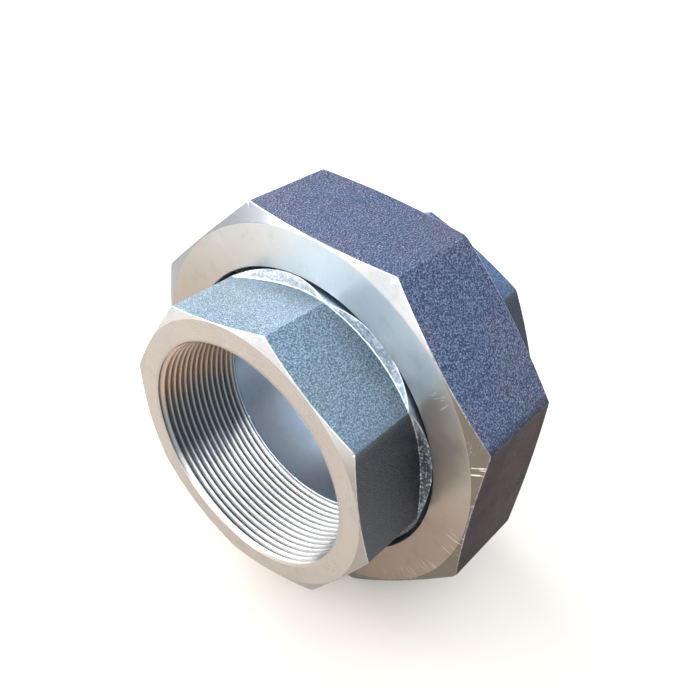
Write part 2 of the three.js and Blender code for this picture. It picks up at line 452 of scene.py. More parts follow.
    # waterway to the foot of the socket
    foot_x = face_x + sign * (SOCKET_DEPTH - 1.5)
    rows.line(inner_from, 51.2, foot_x, 52.45, 18, BORE)
    rows.add(foot_x - sign * 0.12, 52.72, BORE)
    # socket thread: rows from deep to the mouth
    deep = Rows(len(theta))
    col = npt_rows(deep, theta, face_x, sign)
    first_row = len(rows.x)
    for x, r, z in reversed(list(zip(deep.x, deep.r, deep.zone))):
        rows.add(x, r, z)
    rows.seams.append((first_row, len(rows.x) - 1, col, -9 if tail else 9))
    rows.add(face_x + sign * 0.04, 57.28, TURNED)
    return rows, theta, phi


def make_nut(materials):
    theta, phi = ring_angles(0.0)
    rows = Rows(len(theta))
    w_edge = corner_wear(theta, phi, 7)
    rho = 0.6
    rc = oct_radius(phi, NUT_A, rho)
    # front hole edge, front face
    rows.add(0.0, 73.45, TURNED)
    rows.line(0.0, 73.45, 0.0, NUT_FACE_R - 0.35, 10, TURNED)
    rows.add(0.0, NUT_FACE_R, TURNED)
    rise = SLOPE * np.maximum(rc - NUT_FACE_R, 0.0)
    slope_len = np.hypot(rise, rc - NUT_FACE_R)
    for t in (0.1, 0.3, 0.5, 0.7, 0.88):
        rows.add(rise * t, NUT_FACE_R + (rc - NUT_FACE_R) * t, CHAMFER)
    edge = np.minimum(0.10 + 0.22 * w_edge, 0.4 * (slope_len + 0.3))
    k_in = np.minimum(edge / np.maximum(slope_len, 1e-6), 0.45)
    rows.add(rise * (1 - k_in), NUT_FACE_R + (rc - NUT_FACE_R) * (1 - k_in), CHAMFER)
    rows.add(rise + edge * 0.25, rc - edge * 0.1, CHAMFER)
    rows.add(rise + edge, rc, CHAMFER)
    # flats
    x0, x1 = rise + edge, NUT_THICK - rise - edge
    for k in range(1, 31):
        t = k / 30
        rows.add(x0 + (x1 - x0) * t, rc, FLAT)
    # back chamfer and back face
    rows.add(NUT_THICK - rise - edge * 0.25, rc - edge * 0.1, CHAMFER)
    rows.add(NUT_THICK - rise * (1 - k_in), NUT_FACE_R + (rc - NUT_FACE_R) * (1 - k_in), CHAMFER)
    for t in (0.88, 0.6, 0.3, 0.1):
        rows.add(NUT_THICK - rise * t, NUT_FACE_R + (rc - NUT_FACE_R) * t, CHAMFER)
    rows.add(NUT_THICK, NUT_FACE_R, TURNED)
    rows.line(NUT_THICK, NUT_FACE_R, NUT_THICK, 83.2, 5, TURNED)
    rows.add(NUT_THICK - 0.1, 82.9, TURNED)
    # internal union thread from the back mouth forwards
    per = 9
    col, deg = seam_column(theta, 270.0)
    lead = PITCH * deg / 360.0
    start = PITCH * (theta[col] + 90.0) / 360.0
    x_hi, x_lo = NUT_THICK - 0.3, 20.2
    total = int(per * (x_hi - x_lo) / PITCH) + per + 2
    rows.seams.append((len(rows.x), len(rows.x) + total, col, per))
    for k in range(total + 1):
        x = x_hi - (k * PITCH / per) + (PITCH - lead)
        x = np.clip(x, x_lo, x_hi)
        xs = np.mod((x - lead - start) / PITCH, 1.0) * PITCH
        lvl = np.where(
            xs < 0.4905,
            0.0,
            np.where(
                xs < 1.5875,
                (xs - 0.4905) / 1.097,
                np.where(xs < 2.078, 1.0, (3.175 - xs) / 1.097),
            ),
        )
        r = 80.85 + 1.88 * np.clip(lvl, 0, 1)
        r = np.maximum(r, 80.2 + (x - 48.6) * 1.0)
        r = np.maximum(r, 83.1 - (x - 19.0) * 1.25)
        rows.add(x, r, THREAD)
    rows.add(19.4, 82.75, TURNED)
    rows.add(19.0, 83.05, TURNED)
    rows.line(19.0, 83.05, 14.6, 83.05, 4, TURNED)
    rows.add(14.15, 82.9, TURNED)
    rows.add(14.0, 82.5, TURNED)
    rows.line(14.0, 82.5, 14.0, 73.4, 5, TURNED)
    rows.add(13.9, 73.05, BORE)
    rows.add(13.5, 72.92, BORE)
    rows.line(13.5, 72.92, 0.8, 72.92, 8, BORE)
    rows.add(0.45, 73.0, BORE)
    rows.add(0.12, 73.2, TURNED)
    return rows, theta, phi


# ---------------------------------------------------------------- node helpers
def new_material(name):
    mat = bpy.data.materials.new(name)
    mat.use_nodes = True
    tree = mat.node_tree
    tree.nodes.clear()
    return mat, tree


class T:
    """Small node-tree helper."""

    def __init__(self, tree):
        self.tree = tree
        self.n = tree.nodes
        self.l = tree.links

    def node(self, kind, **values):
        node = self.n.new(kind)
        for key, value in values.items():
            setattr(node, key, value)
        return node

    def put(self, socket, value):
        if isinstance(value, bpy.types.NodeSocket):
            self.l.new(value, socket)
        elif value is not None:
            socket.default_value = value

    def math(self, op, a, b=None, c=None, clamp=False):
        node = self.node("ShaderNodeMath", operation=op, use_clamp=clamp)
        self.put(node.inputs[0], a)
        if b is not None:
            self.put(node.inputs[1], b)
        if c is not None:
            self.put(node.inputs[2], c)
        return node.outputs[0]

    def ramp(self, value, low, high, a=0.0, b=1.0, kind="SMOOTHSTEP"):
        node = self.node("ShaderNodeMapRange", interpolation_type=kind, clamp=True) if kind == "LINEAR" else self.node("ShaderNodeMapRange", interpolation_type=kind)
        self.put(node.inputs[0], value)
        self.put(node.inputs[1], low)
        self.put(node.inputs[2], high)
        self.put(node.inputs[3], a)
        self.put(node.inputs[4], b)
        return node.outputs[0]

    def mix(self, factor, a, b, blend="MIX"):
        node = self.node("ShaderNodeMix", data_type="RGBA", blend_type=blend)
        node.clamp_factor = True
        self.put(node.inputs[0], factor)
        self.put(node.inputs[6], a)
        self.put(node.inputs[7], b)
        return node.outputs[2]

    def mixf(self, factor, a, b):
        node = self.node("ShaderNodeMix", data_type="FLOAT")
        node.clamp_factor = True
        self.put(node.inputs[0], factor)
        self.put(node.inputs[2], a)
        self.put(node.inputs[3], b)
        return node.outputs[0]

    def scale(self, vector, by):
        node = self.node("ShaderNodeVectorMath", operation="MULTIPLY")
        self.put(node.inputs[0], vector)
        node.inputs[1].default_value = by
        return node.outputs[0]

    def noise(self, vector, scale, detail=2.0, rough=0.5, distortion=0.0):
        node = self.node("ShaderNodeTexNoise")
        self.put(node.inputs["Vector"], vector)
        node.inputs["Scale"].default_value = scale
        node.inputs["Detail"].default_value = detail
        node.inputs["Roughness"].default_value = rough
        node.inputs["Distortion"].default_value = distortion
        return node.outputs[0]

    def voronoi(self, vector, scale, feature="F1", random=1.0):
        node = self.node("ShaderNodeTexVoronoi", feature=feature)
        self.put(node.inputs["Vector"], vector)
        node.inputs["Scale"].default_value = scale
        node.inputs["Randomness"].default_value = random
        return node


def shared_inputs(t):
    """Object coordinates (metres), their parts, the radius from the axis and the angle round it."""
    co = t.node("ShaderNodeTexCoord").outputs["Object"]
    sep = t.node("ShaderNodeSeparateXYZ")
    t.put(sep.inputs[0], co)
    x, y, z = sep.outputs
    radius = t.math("SQRT", t.math("ADD", t.math("MULTIPLY", y, y), t.math("MULTIPLY", z, z)))
    angle = t.math("ARCTAN2", y, z)
    return co, x, y, z, radius, angle


def polar(t, x, radius, angle, along, around, across):
    """Coordinates (around the axis, along x, out from the axis) so that noise can be stretched round the part."""
    comb = t.node("ShaderNodeCombineXYZ")
    t.put(comb.inputs[0], t.math("MULTIPLY", x, along))
    t.put(comb.inputs[1], t.math("MULTIPLY", t.math("MULTIPLY", angle, 0.08), around))
    t.put(comb.inputs[2], t.math("MULTIPLY", radius, across))
    return comb.outputs[0]


def wear_edge(t, radius=0.0012):
    """0 on the open surface and 1 on convex edges, from the bevelled normal."""
    bevel = t.node("ShaderNodeBevel", samples=4)
    bevel.inputs["Radius"].default_value = radius
    geo = t.node("ShaderNodeNewGeometry")
    dot = t.node("ShaderNodeVectorMath", operation="DOT_PRODUCT")
    t.put(dot.inputs[0], bevel.outputs[0])
    t.put(dot.inputs[1], geo.outputs["Normal"])
    bent = t.math("SUBTRACT", 1.0, dot.outputs["Value"])
    convex = t.ramp(geo.outputs["Pointiness"], 0.5, 0.56)
    return t.math("MULTIPLY", t.ramp(bent, 0.004, 0.06), 1.0), convex


def output(t, base, rough, normal, metallic=1.0, aniso=0.0, tangent=None, rim=None):
    bsdf = t.node("ShaderNodeBsdfPrincipled")
    t.put(bsdf.inputs["Base Color"], base)
    t.put(bsdf.inputs["Roughness"], rough)
    bsdf.inputs["Metallic"].default_value = metallic
    if rim is not None:
        bsdf.inputs["Specular Tint"].default_value = rim
    if aniso:
        bsdf.inputs["Anisotropic"].default_value = aniso
        bsdf.inputs["Anisotropic Rotation"].default_value = 0.25
        if tangent is not None:
            t.put(bsdf.inputs["Tangent"], tangent)
    if normal is not None:
        t.put(bsdf.inputs["Normal"], normal)
    out = t.node("ShaderNodeOutputMaterial")
    t.l.new(bsdf.outputs[0], out.inputs[0])
    return bsdf


def bump(t, height, strength, distance, under=None):
    node = t.node("ShaderNodeBump")
    node.inputs["Strength"].default_value = strength
    node.inputs["Distance"].default_value = distance
    t.put(node.inputs["Height"], height)
    if under is not None:
        t.put(node.inputs["Normal"], under)
    return node.outputs[0]


# ---------------------------------------------------------------- materials
def blasted(name, base, warm, bright, rough=0.40, grain=1.0, painted_shade_low=None, painted_shade_from=0.02, painted_shade_to=-0.075, painted_shade_amount=0.9, rim=None):
    """Shot-blasted forged steel: fine dimples, bright specks on the crests, slow colour drift."""
    mat, tree = new_material(name)
    t = T(tree)
    co, x, y, z, radius, angle = shared_inputs(t)
    fine = t.noise(co, 1480.0, 2.0, 0.6)
    cell = t.voronoi(co, 1500.0)
    pits = t.noise(co, 3200.0, 2.0, 0.5)
    slow = t.noise(co, 34.0, 3.0, 0.55)
    slow2 = t.noise(co, 90.0, 3.0, 0.6, 0.4)
    speck = t.ramp(fine, 0.50, 0.62)
    crest = t.ramp(cell.outputs["Distance"], 0.05, 0.45, 1.0, 0.0)
    light = t.math("MULTIPLY", speck, t.math("ADD", 0.35, t.math("MULTIPLY", crest, 0.65)))
    colour = t.mix(t.ramp(slow, 0.36, 0.64), base, warm)
    dark = tuple(c * 0.42 for c in base[:3]) + (1.0,)
    fade = 1.0
    if painted_shade_low is not None:
        # painted shade: towards the foot of the part the colour is darkened and browned, and its grain is faded there
        low = t.ramp(z, painted_shade_from, painted_shade_to, 0.0, painted_shade_amount)
        colour = t.mix(low, colour, painted_shade_low)
        fade = t.math("SUBTRACT", 1.0, t.math("MULTIPLY", low, 0.9))
    colour = t.mix(t.math("MULTIPLY", t.ramp(fine, 0.52, 0.38, 0.0, 0.85 * grain), fade), colour, dark)
    colour = t.mix(t.math("MULTIPLY", t.math("MULTIPLY", light, 1.0 * grain), fade), colour, bright)
    # a few crests are polished and glint
    glints = t.voronoi(co, 900.0)
    pick = t.node("ShaderNodeSeparateColor")
    t.put(pick.inputs[0], glints.outputs["Color"])
    glint = t.math("MULTIPLY", t.ramp(glints.outputs["Distance"], 0.10, 0.28, 1.0, 0.0), t.ramp(pick.outputs[0], 0.84, 0.94))
    glint = t.math("MULTIPLY", glint, fade)
    colour = t.mix(t.math("MULTIPLY", glint, 0.55), colour, tuple(min(1.0, c * 1.7) for c in bright[:3]) + (1.0,))
    colour = t.mix(t.ramp(slow2, 0.55, 0.78, 0.0, 0.16), colour, dark)
    bent, convex = wear_edge(t, 0.0011)
    ragged = t.ramp(t.noise(co, 420.0, 3.0, 0.7), 0.36, 0.62)
    worn = t.math("MULTIPLY", bent, ragged, clamp=True)
    colour = t.mix(t.math("MULTIPLY", t.math("MULTIPLY", worn, 0.7), fade), colour, bright)
    r = t.math("ADD", rough, t.math("MULTIPLY", t.math("SUBTRACT", slow2, 0.5), 0.18))
    r = t.math("SUBTRACT", r, t.math("MULTIPLY", light, 0.08))
    r = t.math("SUBTRACT", r, t.math("MULTIPLY", glint, 0.08))
    r = t.math("SUBTRACT", r, t.math("MULTIPLY", worn, 0.12), clamp=True)
    h = t.math("ADD", t.math("MULTIPLY", fine, 0.7), t.math("MULTIPLY", pits, 0.3))
    h = t.math("ADD", h, t.math("MULTIPLY", crest, 0.25))
    wave = bump(t, t.noise(co, 60.0, 2.0, 0.5), 0.25, 0.0006)
    n = bump(t, h, 1.0 * grain, 0.00050, wave)
    output(t, colour, r, n, metallic=1.0, rim=rim)
    return mat


def turned(name, base, warm, rough=0.26, groove=1.0, aniso=0.5, radial_scratch=0.35, face=True, painted_sky_tint=None, low=None, painted_shade_from=0.03, painted_shade_to=-0.02, lean=0.0, painted_shade_tint=None, scrapes=(), strokes=False):
    """Faced or turned steel: fine concentric tool lines, faint blotches, small dark pits and stray scratches."""
    mat, tree = new_material(name)
    t = T(tree)
    co, x, y, z, radius, angle = shared_inputs(t)
    # tool lines change with the radius (faces) and with x (cylinders)
    ring = polar(t, x, radius, angle, 1500.0 if not face else 300.0, 6.0, 2600.0 if face else 300.0)
    lines = t.noise(ring, 1.0, 3.0, 0.65)
    ring2 = polar(t, x, radius, angle, 420.0 if not face else 90.0, 3.0, 800.0 if face else 90.0)
    broad = t.noise(ring2, 1.0, 2.0, 0.5)
    blotch = t.noise(co, 42.0, 4.0, 0.6, 0.6)
    cloud = t.noise(co, 120.0, 3.0, 0.55, 0.3)
    colour = t.mix(t.ramp(blotch, 0.34, 0.66), base, warm)
    # painted reflection: the top of the part, most on its right side, is tinted a pale sky blue
    if painted_sky_tint is not None:
        colour = t.mix(t.math("MULTIPLY", t.ramp(z, 0.03, 0.085), t.ramp(y, 0.035, -0.010, 0.5, 1.0)), colour, painted_sky_tint)
    # painted shade: darker and warmer towards the bottom, along a level that leans with y
    if low is not None:
        level = t.math("ADD", z, t.math("MULTIPLY", y, lean))
        colour = t.mix(t.ramp(level, painted_shade_from, painted_shade_to), colour, low)
    # painted shade: the left side of the part, from just below middle height up, is darkened
    if painted_shade_tint is not None:
        colour = t.mix(t.math("MULTIPLY", t.ramp(y, 0.012, 0.032), t.ramp(z, -0.01, 0.025)), colour, painted_shade_tint)
    dim = t.node("ShaderNodeMix", data_type="RGBA", blend_type="MULTIPLY")
    dim.clamp_factor = True
    t.put(dim.inputs[0], t.ramp(cloud, 0.5, 0.78, 0.0, 0.30))
    t.put(dim.inputs[6], colour)
    dim.inputs[7].default_value = (0.62, 0.6, 0.58, 1)
    colour = dim.outputs[2]
    # small dark pits
    cells = t.voronoi(co, 150.0)
    pick = t.node("ShaderNodeSeparateColor")
    t.put(pick.inputs[0], cells.outputs["Color"])
    near = t.ramp(cells.outputs["Distance"], 0.02, 0.10, 1.0, 0.0)
    pit = t.math("MULTIPLY", near, t.ramp(pick.outputs[0], 0.86, 0.9))
    colour = t.mix(t.math("MULTIPLY", pit, 0.8), colour, (0.09, 0.075, 0.065, 1))
    # stray light scratches
    scratch_co = t.scale(co, (70.0, 620.0, 90.0))
    s1 = t.noise(scratch_co, 1.0, 1.0, 0.4, 1.2)
    line1 = t.ramp(t.math("ABSOLUTE", t.math("SUBTRACT", s1, 0.5)), 0.002, 0.010, 1.0, 0.0)
    mask = t.ramp(t.noise(co, 55.0, 1.0, 0.5), 0.62, 0.72)
    line1 = t.math("MULTIPLY", line1, mask)
    colour = t.mix(t.math("MULTIPLY", line1, radial_scratch), colour, (0.95, 0.95, 0.95, 1))
    for theta, r0, length, width, spin in scrapes:
        # a short bright scrape on the front face at (angle, radius), turned by spin
        a0 = math.radians(theta)
        cs, sn = math.cos(math.radians(spin)), math.sin(math.radians(spin))
        dy = t.math("ADD", y, r0 * math.sin(a0))
        dz = t.math("SUBTRACT", z, r0 * math.cos(a0))
        u = t.math("ADD", t.math("MULTIPLY", dy, cs), t.math("MULTIPLY", dz, sn))
        v = t.math("SUBTRACT", t.math("MULTIPLY", dz, cs), t.math("MULTIPLY", dy, sn))
        inside = t.math("MULTIPLY", t.ramp(t.math("ABSOLUTE", u), length * 0.6, length, 1.0, 0.0), t.ramp(t.math("ABSOLUTE", v), width * 0.5, width, 1.0, 0.0))
        inside = t.math("MULTIPLY", inside, t.ramp(x, -0.012, -0.018))
        comb = t.node("ShaderNodeCombineXYZ")
        t.put(comb.inputs[0], t.math("MULTIPLY", u, 220.0))
        t.put(comb.inputs[1], t.math("MULTIPLY", v, 1500.0))
        comb.inputs[2].default_value = theta
        streak = t.ramp(t.noise(comb.outputs[0], 1.0, 2.0, 0.6), 0.48, 0.60)
        mark = t.math("MULTIPLY", inside, streak)
        colour = t.mix(t.math("MULTIPLY", mark, 0.85), colour, (0.86, 0.84, 0.80, 1))
    if strokes:
        # light strokes of a file across the tool lines, low on the face
        lay = t.noise(polar(t, x, radius, angle, 30.0, 1500.0, 70.0), 1.0, 2.0, 0.5)
        area_mask = t.math("MULTIPLY", t.ramp(t.noise(co, 60.0, 2.0, 0.5, 0.5), 0.50, 0.64), t.ramp(z, 0.010, -0.012))
        area_mask = t.math("MULTIPLY", area_mask, t.ramp(radius, 0.083, 0.088))
        stroke = t.math("MULTIPLY", t.ramp(lay, 0.56, 0.68), area_mask)
        colour = t.mix(t.math("MULTIPLY", stroke, 0.5), colour, (0.80, 0.76, 0.70, 1))
    bent, convex = wear_edge(t, 0.0007)
    bright = tuple(min(1.0, c * 1.5) for c in base[:3]) + (1.0,)
    ragged = t.ramp(t.noise(co, 600.0, 2.0, 0.6), 0.34, 0.6)
    colour = t.mix(t.math("MULTIPLY", t.math("MULTIPLY", bent, ragged), 0.6), colour, bright)
    r = t.math("ADD", rough, t.math("MULTIPLY", t.math("SUBTRACT", blotch, 0.5), 0.20))
    r = t.math("ADD", r, t.math("MULTIPLY", t.math("SUBTRACT", lines, 0.5), 0.12 * groove))
    r = t.math("ADD", r, t.math("MULTIPLY", pit, 0.2), clamp=True)
    h = t.math("ADD", t.math("MULTIPLY", lines, 0.6), t.math("MULTIPLY", broad, 0.8))
    h = t.math("SUBTRACT", h, t.math("MULTIPLY", pit, 1.0))
    h = t.math("SUBTRACT", h, t.math("MULTIPLY", line1, 0.3))
    n = bump(t, h, 0.16 * groove, 0.00012)
    grain = t.noise(co, 1500.0, 2.0, 0.5)
    n = bump(t, grain, 0.10, 0.00008, n)
    tangent = t.node("ShaderNodeTangent", direction_type="RADIAL", axis="X").outputs[0]
    output(t, colour, r, n, aniso=aniso, tangent=tangent)
    return mat


def threaded(name, base, warm, pale, rough=0.40):
    """Cut thread: fine lines along the cut, painted shade in the roots, warm on one side, grey on the other and a
    painted highlight of near-white low down.
    """
    mat, tree = new_material(name)
    t = T(tree)
    co, x, y, z, radius, angle = shared_inputs(t)
    along = polar(t, x, radius, angle, 2400.0, 14.0, 2400.0)
    lines = t.noise(along, 1.0, 3.0, 0.6)
    chatter = t.noise(polar(t, x, radius, angle, 240.0, 420.0, 240.0), 1.0, 2.0, 0.5)
    blotch = t.noise(co, 70.0, 3.0, 0.6, 0.4)
    wander = t.math("MULTIPLY", t.math("SUBTRACT", blotch, 0.5), 0.020)
    colour = t.mix(t.ramp(t.math("ADD", z, wander), -0.016, 0.012), base, warm)
    geo = t.node("ShaderNodeNewGeometry")
    # painted shade: the concave thread roots are darkened, more so low down
    root = t.ramp(geo.outputs["Pointiness"], 0.495, 0.44)
    dust = t.ramp(t.noise(co, 520.0, 3.0, 0.65), 0.56, 0.74, 0.0, 0.35)
    colour = t.mix(dust, colour, (0.13, 0.115, 0.105, 1))
    # painted highlight: the lower part of the thread is lightened towards near-white
    painted_low_highlight = t.ramp(t.math("ADD", z, wander), -0.029, -0.046)
    colour = t.mix(painted_low_highlight, colour, pale)
    colour = t.mix(t.math("MULTIPLY", root, t.math("ADD", 0.60, t.math("MULTIPLY", painted_low_highlight, 0.30))), colour, (0.045, 0.040, 0.036, 1))
    # the deburred mouth is bare like the end face
    colour = t.mix(t.ramp(t.math("ABSOLUTE", x), 0.0640, 0.0644), colour, FACE_BASE)
    r = t.math("ADD", rough, t.math("MULTIPLY", t.math("SUBTRACT", lines, 0.5), 0.2))
    r = t.math("ADD", r, t.math("MULTIPLY", root, 0.25), clamp=True)
    h = t.math("ADD", t.math("MULTIPLY", lines, 0.6), t.math("MULTIPLY", chatter, 0.35))
    n = bump(t, h, 0.22, 0.00010)
    tangent = t.node("ShaderNodeTangent", direction_type="RADIAL", axis="X").outputs[0]
    output(t, colour, r, n, aniso=0.35, tangent=tangent)
    return mat


def strip(name, base, bright):
    """The torn wall where the milled flat runs out: coarse bright and dark speckle with short ragged marks, and painted
    shade low down.
    """
    mat, tree = new_material(name)
    t = T(tree)
    co, x, y, z, radius, angle = shared_inputs(t)
    a = t.noise(co, 800.0, 4.0, 0.7)
    b = t.noise(polar(t, x, radius, angle, 500.0, 320.0, 320.0), 1.0, 3.0, 0.7)
    speck = t.ramp(a, 0.40, 0.66)
    colour = t.mix(speck, base, bright)
    # painted shade: below mid height the wall is darkened to a dark speckle
    low = t.ramp(z, 0.046, 0.022)
    painted_low_shade = t.mix(t.ramp(a, 0.50, 0.68), rgba(0.045, 0.052, 0.06), rgba(0.42, 0.47, 0.52))
    colour = t.mix(t.math("MULTIPLY", low, 0.92), colour, painted_low_shade)
    r = t.math("ADD", 0.24, t.math("MULTIPLY", a, 0.18), clamp=True)
    h = t.math("ADD", t.math("MULTIPLY", a, 0.8), t.math("MULTIPLY", b, 0.8))
    n = bump(t, h, 0.6, 0.00030)
    output(t, colour, r, n)
    return mat


def smooth_bore(name, base, warm, rough=0.34):
    """Drilled and reamed bore or neck: even blue-grey with faint lines round it."""
    mat, tree = new_material(name)
    t = T(tree)
    co, x, y, z, radius, angle = shared_inputs(t)
    lines = t.noise(polar(t, x, radius, angle, 1300.0, 8.0, 300.0), 1.0, 3.0, 0.6)
    blotch = t.noise(co, 60.0, 4.0, 0.6, 0.5)
    fine = t.noise(co, 1300.0, 3.0, 0.6)
    colour = t.mix(t.ramp(blotch, 0.34, 0.68), base, warm)
    bright = tuple(min(1.0, c * 1.8) for c in base[:3]) + (1.0,)
    colour = t.mix(t.ramp(fine, 0.56, 0.72, 0.0, 0.16), colour, bright)
    r = t.math("ADD", rough, t.math("MULTIPLY", t.math("SUBTRACT", blotch, 0.5), 0.2))
    r = t.math("ADD", r, t.math("MULTIPLY", t.math("SUBTRACT", lines, 0.5), 0.15), clamp=True)
    n = bump(t, t.math("ADD", lines, t.math("MULTIPLY", fine, 0.5)), 0.12, 0.00010)
    output(t, colour, r, n)
    return mat


def rgba(r, g, b):
    return (r, g, b, 1.0)


FACE_BASE, FACE_WARM = rgba(0.405, 0.372, 0.350), rgba(0.425, 0.385, 0.355)
RING_BASE, RING_WARM = rgba(0.355, 0.325, 0.295), rgba(0.39, 0.34, 0.30)
# the ring's sky blue and low colours are painted reflection and painted shade
RING_PAINTED_SKY, RING_PAINTED_SHADE = rgba(0.54, 0.60, 0.635), rgba(0.325, 0.255, 0.212)
CHAMFER_BASE, CHAMFER_WARM = rgba(0.50, 0.505, 0.515), rgba(0.52, 0.505, 0.50)
# painted shade colour for the low part of the nut's chamfer
CHAMFER_PAINTED_SHADE = rgba(0.165, 0.145, 0.120)
NUT_SCRAPES = (
    (51.5, 0.0862, 0.0036, 0.0016, -40.0),
    (53.6, 0.0868, 0.0030, 0.0008, -58.0),
    (49.8, 0.0838, 0.0026, 0.0007, -48.0),
)
NUT_EDGE_SCRAPES = (
    (71.0, 0.0950, 0.0042, 0.0010, 163.0),
    (72.8, 0.0945, 0.0038, 0.0005, 160.0),
    (83.0, 0.0925, 0.0022, 0.0009, 172.0),
    (96.0, 0.0935, 0.0020, 0.0007, 184.0),
)


def zone_materials(prefix, flat, nut=False):
    if nut:
        # the ring carries a painted sky reflection at the top and painted shade low down
        face = turned(
            prefix + "_turned", RING_BASE, RING_WARM, rough=0.34, aniso=0.8, painted_sky_tint=RING_PAINTED_SKY, low=RING_PAINTED_SHADE,
            scrapes=NUT_SCRAPES, strokes=True,
        )
        # the nut's chamfer carries painted shade low down and on its left side
        edge = turned(
            prefix + "_chamfer", CHAMFER_BASE, CHAMFER_WARM, rough=0.30, groove=1.3, low=CHAMFER_PAINTED_SHADE,
            painted_shade_from=0.052, painted_shade_to=0.004, lean=0.6, painted_shade_tint=rgba(0.25, 0.272, 0.30), scrapes=NUT_EDGE_SCRAPES, strokes=True,
        )
    else:
        face = turned(prefix + "_turned", FACE_BASE, FACE_WARM, rough=0.28, groove=0.7, aniso=0.3)
        # the darker colour low on this chamfer is painted shade
        edge = turned(
            prefix + "_chamfer", CHAMFER_BASE, CHAMFER_WARM, rough=0.30, groove=1.3, low=rgba(0.30, 0.28, 0.26),
            painted_shade_from=0.05, painted_shade_to=0.03,
        )
    return [
        flat,
        face,
        threaded(prefix + "_thread", rgba(0.22, 0.24, 0.265), rgba(0.44, 0.335, 0.27), rgba(0.84, 0.84, 0.845)),
        smooth_bore(prefix + "_bore", rgba(0.46, 0.545, 0.63), rgba(0.40, 0.475, 0.58)),
        strip(prefix + "_runout", rgba(0.34, 0.38, 0.42), rgba(0.66, 0.70, 0.74)),
        edge,
    ]


# the dark low colours given to each piece's flats are painted shade towards the foot
NUT_FLAT = blasted(
    "nut_blasted",
    rgba(0.078, 0.104, 0.175),
    rgba(0.112, 0.110, 0.160),
    rgba(0.36, 0.45, 0.66),
    painted_shade_low=rgba(0.012, 0.007, 0.007),
    painted_shade_from=0.043,
    painted_shade_to=0.036,
    painted_shade_amount=0.98,
    rim=(0.70, 0.65, 0.65, 1.0),
)
TAIL_FLAT = blasted(
    "tail_blasted",
    rgba(0.165, 0.220, 0.262),
    rgba(0.165, 0.228, 0.292),
    rgba(0.46, 0.56, 0.64),
    grain=0.85,
    painted_shade_low=rgba(0.060, 0.064, 0.074),
    painted_shade_from=0.047,
    painted_shade_to=0.038,
    painted_shade_amount=0.92,
)
MALE_FLAT = blasted(
    "male_blasted",
    rgba(0.075, 0.115, 0.205),
    rgba(0.085, 0.120, 0.200),
    rgba(0.34, 0.45, 0.66),
    grain=0.8,
    painted_shade_low=rgba(0.026, 0.034, 0.046),
    painted_shade_from=0.057,
    painted_shade_to=0.050,
    painted_shade_amount=0.92,
)

# ---------------------------------------------------------------- pieces
PIECES = {}


def add_piece(name, node, body, rows, theta, materials, marks=()):
    verts = build_mesh(name, rows, theta)
    flat = verts.reshape(-1, 3)
    # slow unevenness of the forged flats, inwards only, and nothing on the turned zones
    zone = np.repeat(np.array(rows.zone)[:, None], verts.shape[1], axis=1)
    rad = np.hypot(verts[..., 1], verts[..., 2])
    amp = 0.05 * (0.5 + 0.5 * noise(verts, 14.0, 21)) + 0.018 * (0.5 + 0.5 * noise(verts, 3.4, 22))
    amp = np.where(zone == FLAT, amp, 0.0)
    scale = 1 - amp / np.maximum(rad, 1.0)
    verts = verts.copy()
    verts[..., 1] *= scale
    verts[..., 2] *= scale
    # the runout wall is torn along x
    rough = 0.16 * noise(verts, 1.3, 23) + 0.10 * noise(verts, 0.6, 24)
    verts[..., 0] += np.where(zone == STRIP, rough, 0.0)
    if marks:
        verts = dents(verts, marks)
    flip = signed_volume(verts) < 0
    obj = finish_mesh(name, verts, rows.zone, materials, flip, rows.seams)
    mod = obj.modifiers.new("weights", "WEIGHTED_NORMAL")
    mod.mode = "FACE_AREA"
    mod.weight = 60
    mod.keep_sharp = True
    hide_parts(node)
    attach(obj, body)
    PIECES[name] = obj
    return obj


def ring_point(theta, x, r):
    t = math.radians(theta)
    return (x - ORIGIN, -r * math.sin(t), r * math.cos(t))


def chip(theta, x, r, rad, dep):
    """A nick that pushes the edge back along x and inwards."""
    t = math.radians(theta)
    return (ring_point(theta, x, r), (0.6, math.sin(t), -math.cos(t)), rad, dep)


nut_mats = zone_materials("nut", NUT_FLAT, nut=True)
tail_mats = zone_materials("tail", TAIL_FLAT)
male_mats = zone_materials("male", MALE_FLAT)

rows, theta, phi = make_nut(nut_mats)
nut_marks = [
    chip(22.5, 2.9, 99.6, 1.6, 0.55),
    chip(26.0, 2.2, 98.2, 1.0, 0.35),
    chip(67.5, 2.9, 99.7, 1.5, 0.5),
    chip(92.0, 0.4, 92.3, 0.8, 0.25),
    chip(97.0, 0.5, 92.7, 0.9, 0.3),
    chip(112.5, 3.0, 99.7, 1.2, 0.4),
    chip(337.5, 3.0, 99.7, 1.1, 0.35),
    chip(202.5, 3.0, 99.7, 1.3, 0.4),
    chip(22.5, NUT_THICK - 3.0, 99.7, 1.4, 0.45),
    chip(247.5, NUT_THICK - 3.0, 99.7, 1.3, 0.4),
    chip(8.0, 0.2, 92.2, 0.7, 0.2),
    chip(301.0, 0.3, 92.6, 0.8, 0.2),
]
add_piece("union_nut_steel", "union_nut", "union_nut", rows, theta, nut_mats, nut_marks)

rows, theta, phi = make_end("tail", tail_mats)
tail_marks = [
    chip(22.5 + TAIL_TURN, -TAIL_OUT + 2.0, 71.2, 1.0, 0.3),
    chip(67.5 + TAIL_TURN, -TAIL_OUT + 2.1, 71.4, 1.2, 0.4),
    chip(340.0 + TAIL_TURN, -TAIL_OUT + 2.1, 71.2, 0.8, 0.25),
]
add_piece("tail_piece_steel", "tail_piece", "tail_piece", rows, theta, tail_mats, tail_marks)

